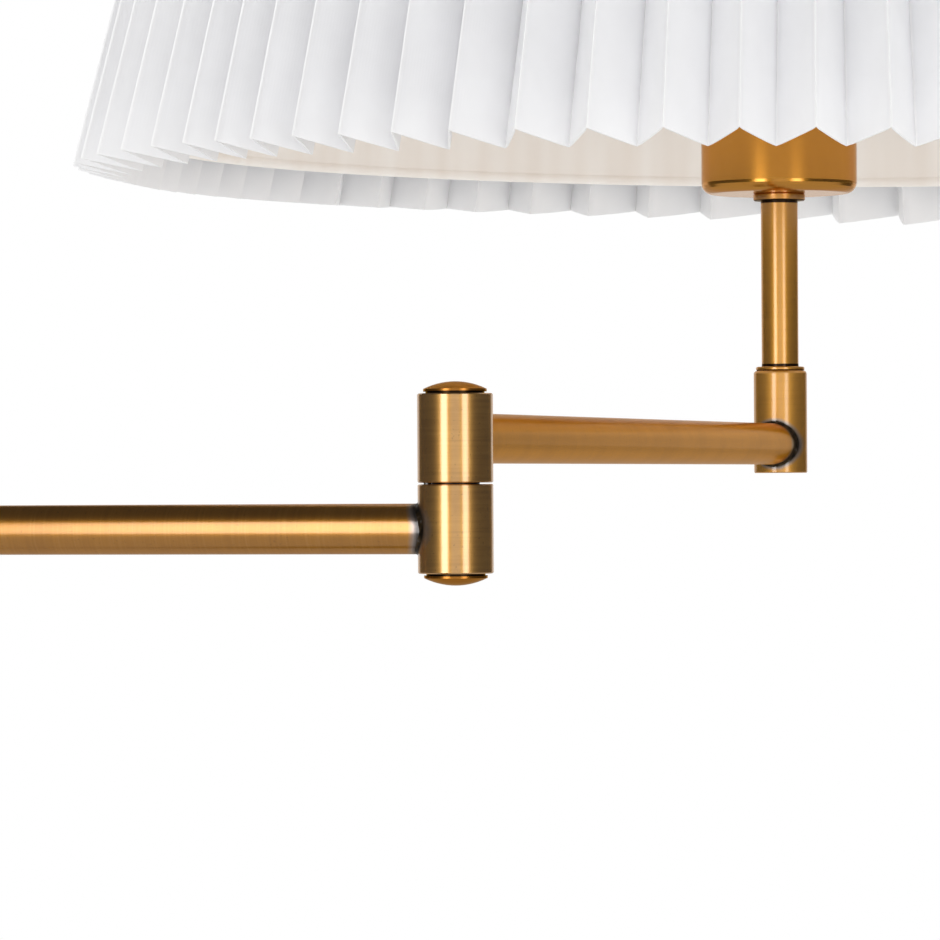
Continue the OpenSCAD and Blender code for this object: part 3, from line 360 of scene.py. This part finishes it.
# ---------- Cord bush, seam washers and lampholder core ----------
# Dark moulded phenolic: nearly black, with a soft gloss and a faint mottle.
# The bush is pressed into the foot, the washers and the core are clamped.
phenolic, tree, shader, here = start_finish("moulded phenolic")
mottle = add(tree, "ShaderNodeTexNoise", {"Vector": here, "Scale": 500.0, "Detail": 3.0})
feed(shader, Base_Color=blend_tint(tree, ramp(tree, mottle, 0.35, 0.7), srgb("#191715"), srgb("#2a2622")),
     Roughness=ramp(tree, mottle, 0.3, 0.7, 0.35, 0.5), Normal=bumps(tree, 0.15, 0.0002, mottle))
dress(phenolic, "cord_bush", "shoulder_seam_washer", "elbow_seam_washer", "holder_core")

# ---------- Flex ----------
# Two-core flex in a gold-coloured braid, which runs inside the tubes from the foot to the
# lampholder. The braid's threads cross at 1.2 mm, wider than real ones, so that they show.
braid, tree, shader, here = start_finish("braided flex")
strands = []
for side in (1, -1):
    slanted = add(tree, "ShaderNodeMapping", {"Vector": here, "Rotation": (0.6 * side, 0.3, 0.8 * side)})
    strands.append(add(tree, "ShaderNodeTexWave", {"Vector": slanted, "Scale": 260.0}))
weave = add(tree, "ShaderNodeMath", strands, operation="MAXIMUM")
feed(shader, Base_Color=blend_tint(tree, weave, srgb("#6d5426"), srgb("#b08f4e")), Roughness=0.7,
     Sheen_Weight=0.2, Normal=bumps(tree, 0.5, 0.0003, weave))
dress(braid, "stand_flex", "lower_arm_flex", "forearm_flex")

# ---------- Shoulder ----------
# Two turned barrels on the pole's axis. The lower one sits over the pole, the upper one carries
# the lower arm, brazed on, and a pressed domed cap closes it.
shoulder_seam, barrel_h, seam_h, barrel_r = 1.1015, 0.0235, 0.0004, 0.010
lower_heading, fore_heading = math.radians(-17), math.radians(71)
lower_way = Vector((math.cos(lower_heading), math.sin(lower_heading), 0))
fore_way = Vector((math.cos(fore_heading), math.sin(fore_heading), 0))
lower_arm_at = Vector((0, 0, shoulder_seam + seam_h + barrel_h / 2))
shoulder_joint = (lower_arm_at, lower_way, barrel_r)
dress(antique_brass("turned brass shoulder", at_pole, show=0.7, brazed=[shoulder_joint]), "shoulder_socket",
      "shoulder_barrel")
dress(antique_brass("pressed brass shoulder cap", at_pole, gold="#b9852f", satin=0.24, show=0.5),
      "shoulder_cap")

# ---------- Lower arm ----------
# A drawn brass tube between the shoulder and the elbow, coped to both barrels and brazed. The
# heat left its ends dark grey, with bare silvery spots.
arm_length = 0.33
elbow_at = lower_arm_at + lower_way * arm_length
elbow_joint = (elbow_at, -lower_way, barrel_r)
along_lower = (0, math.pi / 2, lower_heading)
dress(antique_brass("drawn brass lower arm", lower_arm_at, along_lower, gold="#b47a26", satin=0.33, show=0.5,
                    coat=0.45, brazed=[shoulder_joint, elbow_joint]), "lower_arm_tube")
bead_lap, bead_steps, sunk = 0.0011, 96, 0.0005


def braze_ring(barrel_at, way, barrel):
    """Points and faces of the fillet of braze where an arm leaves a barrel in a direction."""
    side, points = way.cross(Vector((0, 0, 1))), []

    def on(a, grow, out):
        """A point at a turn round the arm, grown from its skin and out from the barrel's."""
        y, h = (arm_r + grow) * math.cos(a), (arm_r + grow) * math.sin(a)
        return barrel_at + way * (math.sqrt(barrel ** 2 - y ** 2) + out) + side * y + Vector((0, 0, h))

    for i in range(bead_steps):
        a = math.tau * i / bead_steps
        wave = 1 + 0.16 * math.sin(5 * a + 1) + 0.1 * math.sin(11 * a)
        toe, heel = on(a, -0.00008, 0.9 * bead_lap * wave), on(a, 0.92 * bead_lap, -0.00008)
        root = on(a, 0.00012, 0.00012)
        points += [toe.lerp(root, t).lerp(root.lerp(heel, t), t) for t in (j / 6 for j in range(7))]
        points.append(on(a, -sunk, -sunk))
    return points, faces_round(bead_steps, 8)


def braze_beads(name, ends, finish, body, replaced):
    """The beads at an arm's two ends, as one piece."""
    points, faces = [], []
    for end in ends:
        more, quads = braze_ring(*end)
        faces += [tuple(len(points) + k for k in q) for q in quads]
        points += more
    beads = new_piece(name, points, faces, finish, body, replaced, 60)
    work = bmesh.new()
    work.from_mesh(beads.data)
    bmesh.ops.recalc_face_normals(work, faces=work.faces)
    work.to_mesh(beads.data)
    work.free()


scorched, tree, shader, here = start_finish("heat darkened braze")
crust = add(tree, "ShaderNodeTexNoise", {"Vector": here, "Scale": 520.0, "Detail": 3.0})
tint = blend_tint(tree, ramp(tree, crust, 0.35, 0.6), srgb("#1e1a17"), srgb("#4a3c2a"))
tint = blend_tint(tree, ramp(tree, crust, 0.6, 0.7, 0, 0.35), tint, srgb("#8f9296"))
feed(shader, Base_Color=tint, Metallic=1.0, Roughness=ramp(tree, crust, 0.3, 0.7, 0.4, 0.6),
     Normal=bumps(tree, 0.5, 0.0002, crust))
braze_beads("lower_arm_braze_beads", [shoulder_joint, elbow_joint], scorched, "lower_arm",
            ["lower_arm_braze"])

# ---------- Elbow ----------
# Two more barrels, stacked on the elbow's own axis, with a pressed domed cap at each end over a
# dark shadow gap. The lower one belongs to the lower arm, the upper one to the forearm.
fore_at = elbow_at + Vector((0, 0, barrel_h + seam_h))
fore_joint = (fore_at, fore_way, barrel_r)
dress(antique_brass("turned brass lower elbow", elbow_at, show=0.7, brazed=[elbow_joint]),
      "elbow_lower_barrel")
dress(antique_brass("turned brass upper elbow", fore_at, show=0.7, brazed=[fore_joint], scorch=0.001),
      "elbow_upper_barrel")
# Painted shadow: each cap is painted dark for a lip's height next to the barrels, where the gap is in shade
stack_top, lip = 1.5 * barrel_h + seam_h, 0.0006
cap_gap_shadows = [(stack_top, stack_top + lip), (-barrel_h / 2 - lip, -barrel_h / 2)]
dress(antique_brass("pressed brass elbow cap", elbow_at, gold="#a66a22", satin=0.28, show=0.3, coat=0.1,
                    painted_shadow_bands=cap_gap_shadows), "elbow_top_cap", "elbow_bottom_cap")

# ---------- Forearm ----------
# The same tube and joints as the lower arm, from the elbow's upper barrel to the wrist. Its heat
# marks are narrower.
head_at = fore_at + fore_way * arm_length
wrist_r = 0.00865
wrist_joint = (head_at, -fore_way, wrist_r)
along_fore = (0, math.pi / 2, fore_heading)
dress(antique_brass("drawn brass forearm", fore_at, along_fore, gold="#d4943a", satin=0.34, show=0.4,
                    coat=0.2, brazed=[wrist_joint], scorch=0.0033), "forearm_tube")
braze_beads("forearm_braze_beads", [fore_joint, wrist_joint], scorched, "forearm", ["forearm_braze"])

# ---------- Wrist and stem ----------
# A short turned barrel stands on the forearm's end. A washer, the stem tube and a flange stack
# on it, clamped by the threaded tube inside. The wrist is darkened above and below the arm.
dress(antique_brass("turned brass wrist", head_at, gold="#d49a40", brown="#8a5a1c", satin=0.48, show=0.25,
                    coat=0.6, brazed=[wrist_joint], scorch=0.0014), "wrist_barrel")
# Painted shadow lines, in metres above head_at: under the washer, at the stem's foot and under the flange
shadow_under_washer, shadow_under_stem, shadow_under_flange = (0.0238, 0.0242), (0.0253, 0.0261), (0.0786, 0.0796)
stem_brass = antique_brass("satin brass stem", head_at, gold="#d09436", brown="#93652a", satin=0.4, show=0.2,
                           coat=0.6, painted_shadow_bands=[shadow_under_washer, shadow_under_stem, shadow_under_flange])
dress(stem_brass, "wrist_plug", "wrist_washer", "stem_tube", "cup_flange")

# ---------- Cup ----------
# A spun cup that hides the lampholder's foot, clamped between the flange and a nut. It is smoother
# and more golden than the arms.
dress(antique_brass("spun brass cup", head_at, gold="#c5841a", brown="#a66a10", satin=0.22, show=0.15,
                    coat=0.35), "cup")

# ---------- Lampholder ----------
# A brass cap and shell round a moulded core, with a card sleeve between them, a rolled screw
# shell for the lamp and a sprung contact at its bottom.
dress(antique_brass("lampholder brass", head_at, gold="#b98b3f", satin=0.3, show=0.4), "holder_cap",
      "holder_shell", "centre_contact")
screw_brass, tree, shader, here = start_finish("rolled screw shell")
pitch = add(tree, "ShaderNodeTexWave", {"Vector": here, "Scale": 86.0}, bands_direction="Z")
feed(shader, Base_Color=blend_tint(tree, pitch, srgb("#94733a"), srgb("#b8945a")), Metallic=1.0,
     Roughness=0.35, Normal=bumps(tree, 0.8, 0.001, pitch))
dress(screw_brass, "screw_shell")
card, tree, shader, here = start_finish("pressed card sleeve")
fibre = add(tree, "ShaderNodeTexNoise", {"Vector": here, "Scale": 600.0, "Detail": 4.0})
feed(shader, Base_Color=blend_tint(tree, fibre, srgb("#c9bda6"), srgb("#e2d8c4")), Roughness=0.85,
     Normal=bumps(tree, 0.3, 0.0002, fibre))
dress(card, "holder_sleeve")

# ---------- Harp ----------
# Bent brass-plated wire on a stamped saddle. Two small sleeves lock its legs, and a flat top with
# a threaded stud carries the shade.
dress(antique_brass("plated harp wire", head_at, gold="#b88a3e", satin=0.25, show=0.35), "harp",
      "harp_saddle", "harp_ferrules")

# ---------- Shade's wire frame ----------
# Welded steel wire in white enamel: a washer, three arms and the top ring. The lower ring is
# bound in the liner's beige tape.
enamel, tree, shader, here = start_finish("white enamelled wire")
drip = add(tree, "ShaderNodeTexNoise", {"Vector": here, "Scale": 180.0, "Detail": 3.0})
feed(shader, Base_Color=blend_tint(tree, drip, srgb("#dedcd6"), srgb("#efeeea")), Roughness=0.4,
     Normal=bumps(tree, 0.15, 0.0004, drip))
dress(enamel, "shade_spider")
tape, tree, shader, here = start_finish("cotton binding tape")
rib = add(tree, "ShaderNodeTexNoise", {"Vector": here, "Scale": 800.0, "Detail": 3.0})
feed(shader, Base_Color=blend_tint(tree, rib, srgb("#d9c8ba"), srgb("#e9dccf")), Roughness=0.9,
     Normal=bumps(tree, 0.4, 0.0002, rib))
dress(tape, "shade_bottom_ring")

# ---------- Liner ----------
# Beige cotton laminated to a clear stiff sheet and rolled to a smooth cone between the two rings,
# with its lower edge hemmed round the wire. The pleats outside shadow it in soft upright bands.
pleats, rim_radius, pleat_depth, slant, cloth_length = 70, 0.2093, 0.018, math.radians(14), 0.268
pleat_turn, pleat_over, cloth_thick, liner_thick = math.radians(4.1), 0.0136, 0.0006, 0.0007
rim_height, harp_top, washer_r = 0.0838, 0.3108, 0.007
lean, lean_to = math.radians(0.9), math.radians(-14)
hang = Matrix.Translation(head_at + Vector((0, 0, harp_top + washer_r * math.sin(lean))))
shade_place = (hang @ Matrix.Rotation(lean_to, 4, "Z") @ Matrix.Rotation(lean, 4, "Y")
               @ Matrix.Rotation(-lean_to, 4, "Z") @ Matrix.Translation((0, 0, -harp_top)))
half_pleat = rim_radius * math.sin(math.pi / pleats)
face_width = math.hypot(pleat_depth, half_pleat)
skew = cloth_thick * face_width / half_pleat


def fold_line(up, inward):
    """Radius and height of the inward folds, a distance up the slant, drawn in by an inward step."""
    return rim_radius - up * math.sin(slant) - inward, rim_height + up * math.cos(slant)


liner_out = skew + 0.0003 / math.cos(slant)
liner_in = liner_out + liner_thick / math.cos(slant)
low, high = pleat_over - 0.0015, cloth_length - pleat_over + 0.0015
liner_steps = [low + (high - low) * i / 12 for i in range(13)]
wire_r, hem_r = 0.0016, 0.0019
ring_r, ring_z = fold_line(pleat_over, liner_out + (liner_thick + wire_r) / math.cos(slant))
hem = []
for turn in range(60, -136, -15):
    inward, along = hem_r * math.cos(math.radians(turn)), hem_r * math.sin(math.radians(turn))
    hem.append((ring_r - inward * math.cos(slant) - along * math.sin(slant),
                ring_z - inward * math.sin(slant) + along * math.cos(slant)))
liner_outline = ([fold_line(up, liner_out) for up in liner_steps]
                 + [fold_line(up, liner_in) for up in reversed(liner_steps[1:])] + hem)
liner_points, liner_faces = turned_shape(liner_outline, 180, shade_place)
liner_cloth, tree, shader, here = start_finish("laminated beige liner")
from_head = add(tree, "ShaderNodeVectorMath", [here, head_at], operation="SUBTRACT")
x, y, z = add(tree, "ShaderNodeSeparateXYZ", [from_head]).node.outputs
angle = add(tree, "ShaderNodeMath", [y, x], operation="ARCTAN2")
angle = add(tree, "ShaderNodeMath", [angle, float(pleats)], operation="MULTIPLY")
band = add(tree, "ShaderNodeMath", [angle], operation="SINE")
upright = add(tree, "ShaderNodeVectorMath", [here, (130, 130, 3)], operation="MULTIPLY")
drift = add(tree, "ShaderNodeTexNoise", {"Vector": upright, "Scale": 1.0, "Detail": 1.0})
shadow = add(tree, "ShaderNodeMath", [band, 0.08, drift], operation="MULTIPLY_ADD")
grain = add(tree, "ShaderNodeTexNoise", {"Vector": here, "Scale": 900.0, "Detail": 2.0})
feed(shader, Base_Color=blend_tint(tree, ramp(tree, shadow, 0.2, 0.85), srgb("#f1e9e1"), srgb("#faf5f0")),
     Roughness=0.6, Subsurface_Weight=0.2, Subsurface_Radius=(0.002, 0.002, 0.002), Subsurface_Scale=1.0,
     Normal=bumps(tree, 0.15, 0.0002, grain))
liner = new_piece("liner_cone", liner_points, liner_faces, liner_cloth, "forearm", ["shade_liner"])

# ---------- Pleated cloth ----------
# One strip of white polyester, heat-set in knife-sharp folds and bound over the liner's two ends.
# Its faces keep their width while the cone narrows, so the pleats deepen towards the top.
# Its threads, 1 mm apart in the finish, are coarser than real ones, so that they show.
pleat_cloth, tree, shader, here = start_finish("heat-set pleated polyester")
fold = add(tree, "ShaderNodeAttribute", attribute_name="fold").node.outputs["Fac"]
across = add(tree, "ShaderNodeAttribute", attribute_name="across").node.outputs["Fac"]
slub = add(tree, "ShaderNodeTexNoise", {"Vector": here, "Scale": 45.0, "Detail": 3.0})
thread = add(tree, "ShaderNodeMath", [across, math.tau * 1000], operation="MULTIPLY")
thread = add(tree, "ShaderNodeMath", [thread], operation="SINE")
tint = blend_tint(tree, ramp(tree, slub, 0.3, 0.7), srgb("#f2f2f4"), srgb("#f8f8fa"))
along = add(tree, "ShaderNodeMath", [across, 2 * face_width], operation="MODULO")
# Painted shadow: a grey band on the face just before each inward fold
painted_fold_shadow = ramp(tree, along, 1.9 * face_width, 2 * face_width, 0, 0.3)
tint = blend_tint(tree, painted_fold_shadow, tint, srgb("#d6d6da"))
# Painted highlight: a thin white line just past each inward fold, on the cloth's outer side only
outwards = add(tree, "ShaderNodeVectorMath", [here, head_at], operation="SUBTRACT")
normal = add(tree, "ShaderNodeTexCoord").node.outputs["Normal"]
outside = add(tree, "ShaderNodeVectorMath", [outwards, normal], operation="DOT_PRODUCT")
painted_fold_highlight = add(tree, "ShaderNodeMath", [ramp(tree, along, 0.06 * face_width, 0.02 * face_width),
                                            ramp(tree, outside, 0.01, 0.03, 0, 0.85)], operation="MULTIPLY")
tint = blend_tint(tree, painted_fold_highlight, tint, srgb("#ffffff"))
# Painted highlight: the outward folds' ridges are painted white
tint = blend_tint(tree, ramp(tree, fold, 0.93, 0.99, 0, 0.7), tint, srgb("#ffffff"))
feed(shader, Base_Color=tint, Roughness=0.55, Specular_IOR_Level=0.35, Subsurface_Weight=0.35,
     Subsurface_Radius=(0.003, 0.003, 0.003), Subsurface_Scale=1.0, Sheen_Weight=0.1,
     Normal=bumps(tree, 0.02, 0.0002, thread))

folding = bpy.data.node_groups.new("pleated cone", "GeometryNodeTree")
folding.interface.new_socket("Geometry", in_out="OUTPUT", socket_type="NodeSocketGeometry")
sizes = {"Pleats": pleats, "Steps In A Pleat": 16, "Rim Radius": rim_radius, "Rim Height": rim_height,
         "Face Width": face_width, "Slant": slant, "Cloth Length": cloth_length, "Turn": pleat_turn,
         "Bow": -0.03, "Far Lean": math.radians(2.7), "Unevenness": 0.05}
# Places round the shade where the pleats sit unevenly, as in the photograph: middle, reach and
# sideways shift in degrees, then the rise and the outward folds' droop in mm.
uneven = [(65, 20, -5.6, -3.0, 0), (128, 30, 6.2, 0.5, 3.0), (207.9, 14.4, 3.3, 0, 0),
          (244.8, 11, -0.9, 0, 0), (285, 18, 1.3, 0.6, 0)]
# The far pleats' outward folds lean sideways round this place, in degrees
lean_middle, lean_reach = 100, 35
keys = {}
for name, value in sizes.items():
    kind = "NodeSocketInt" if isinstance(value, int) else "NodeSocketFloat"
    keys[name] = folding.interface.new_socket(name, in_out="INPUT", socket_type=kind).identifier
size = add(folding, "NodeGroupInput").node.outputs


def calc(operation, *values):
    """One step of the fold's arithmetic."""
    return add(folding, "ShaderNodeMath", list(values), operation=operation)


columns = calc("ADD", calc("MULTIPLY", size["Pleats"], size["Steps In A Pleat"]), 1.0)
flat_cloth = add(folding, "GeometryNodeMeshGrid", [1.0, 1.0, columns, 21])
u, v, _ = add(folding, "ShaderNodeSeparateXYZ", [add(folding, "GeometryNodeInputPosition")]).node.outputs
u, v = calc("ADD", u, 0.5), calc("ADD", v, 0.5)
count = calc("MULTIPLY", u, size["Pleats"])
zigzag = calc("MULTIPLY", calc("PINGPONG", count, 0.5), 2.0)
bowed = calc("MULTIPLY_ADD", calc("SINE", calc("MULTIPLY", zigzag, math.pi)), size["Bow"], zigzag)
even = calc("MULTIPLY_ADD", u, math.tau, size["Turn"])


def swell_at(middle, reach):
    """A smooth swell, 1 at its middle and nearly 0 past its reach, both in degrees round the shade."""
    apart = calc("DIVIDE", calc("SUBTRACT", even, math.radians(middle)), math.radians(reach))
    return calc("EXPONENT", calc("MULTIPLY", calc("MULTIPLY", apart, apart), -1.0))


shift = rise = droop = 0.0
for middle, reach, turned, raised, drooped in uneven:
    swell = swell_at(middle, reach)
    shift = calc("MULTIPLY_ADD", swell, math.radians(turned), shift)
    rise = calc("MULTIPLY_ADD", swell, raised / 1000, rise)
    droop = calc("MULTIPLY_ADD", swell, drooped / 1000, droop)
leaning = calc("MULTIPLY", calc("MULTIPLY", swell_at(lean_middle, lean_reach), size["Far Lean"]), zigzag)
circle = add(folding, "ShaderNodeCombineXYZ", [calc("COSINE", even), calc("SINE", even),
                                               calc("MULTIPLY", v, 0.25)])
drift = add(folding, "ShaderNodeTexNoise", {"Vector": circle, "Scale": 9.0, "Detail": 1.0})
drift = calc("SUBTRACT", drift, 0.5)
wander = calc("MULTIPLY_ADD", calc("MULTIPLY", drift, size["Unevenness"]), 0.15, even)
azimuth = calc("SUBTRACT", calc("ADD", wander, shift), leaning)
up = calc("MULTIPLY", v, size["Cloth Length"])
fold_radius = calc("SUBTRACT", size["Rim Radius"], calc("MULTIPLY", up, calc("SINE", size["Slant"])))
fold_height = calc("MULTIPLY_ADD", up, calc("COSINE", size["Slant"]), size["Rim Height"])
half_gap = calc("MULTIPLY", fold_radius, calc("SINE", calc("DIVIDE", math.pi, size["Pleats"])))
width_squared = calc("MULTIPLY", size["Face Width"], size["Face Width"])
depth = calc("SQRT", calc("SUBTRACT", width_squared, calc("MULTIPLY", half_gap, half_gap)))
depth = calc("MULTIPLY", depth, calc("MULTIPLY_ADD", drift, size["Unevenness"], 0.985))
outward = calc("MULTIPLY", bowed, depth)
radius = calc("MULTIPLY_ADD", outward, calc("COSINE", size["Slant"]), fold_radius)
height = calc("MULTIPLY_ADD", outward, calc("SINE", size["Slant"]), fold_height)
height = calc("ADD", height, calc("SUBTRACT", rise, calc("MULTIPLY", droop, zigzag)))
place = add(folding, "ShaderNodeCombineXYZ", [calc("MULTIPLY", radius, calc("COSINE", azimuth)),
                                              calc("MULTIPLY", radius, calc("SINE", azimuth)), height])
unfolded = calc("MULTIPLY", calc("MULTIPLY", count, size["Face Width"]), 2.0)
cloth = add(folding, "GeometryNodeStoreNamedAttribute",
            {"Geometry": flat_cloth, "Name": "fold", "Value": zigzag})
cloth = add(folding, "GeometryNodeStoreNamedAttribute",
            {"Geometry": cloth, "Name": "across", "Value": unfolded})
cloth = add(folding, "GeometryNodeSetPosition", {"Geometry": cloth, "Position": place})
cloth = add(folding, "GeometryNodeMergeByDistance", {"Geometry": cloth, "Distance": 0.00002})
cloth = add(folding, "GeometryNodeRealizeInstances", {"Geometry": cloth})
cloth = add(folding, "GeometryNodeSetMaterial", {"Geometry": cloth, "Material": pleat_cloth})
add(folding, "NodeGroupOutput", [cloth])
flat = bpy.data.objects.new("flat_cloth", bpy.data.meshes.new("flat_cloth"))
bpy.context.scene.collection.objects.link(flat)
folder = flat.modifiers.new("fold", "NODES")
folder.node_group = folding
for name, value in sizes.items():
    folder[keys[name]] = value
wall = flat.modifiers.new("cloth wall", "SOLIDIFY")
wall.thickness, wall.offset, wall.use_even_offset = cloth_thick, -1, False
folded = bpy.data.meshes.new_from_object(flat.evaluated_get(bpy.context.evaluated_depsgraph_get()))
bpy.data.objects.remove(flat)
folded.transform(shade_place)
shade = settle("pleated_cloth", folded, pleat_cloth, "forearm", ["shade_cover"], 25)

# ---------- Finial ----------
# A turned brass knob that screws on the harp's stud and holds the shade's washer down.
# It is polished a little brighter than the arms.
dress(antique_brass("turned brass finial", head_at, gold="#bd8a36", satin=0.24, show=0.5), "finial")
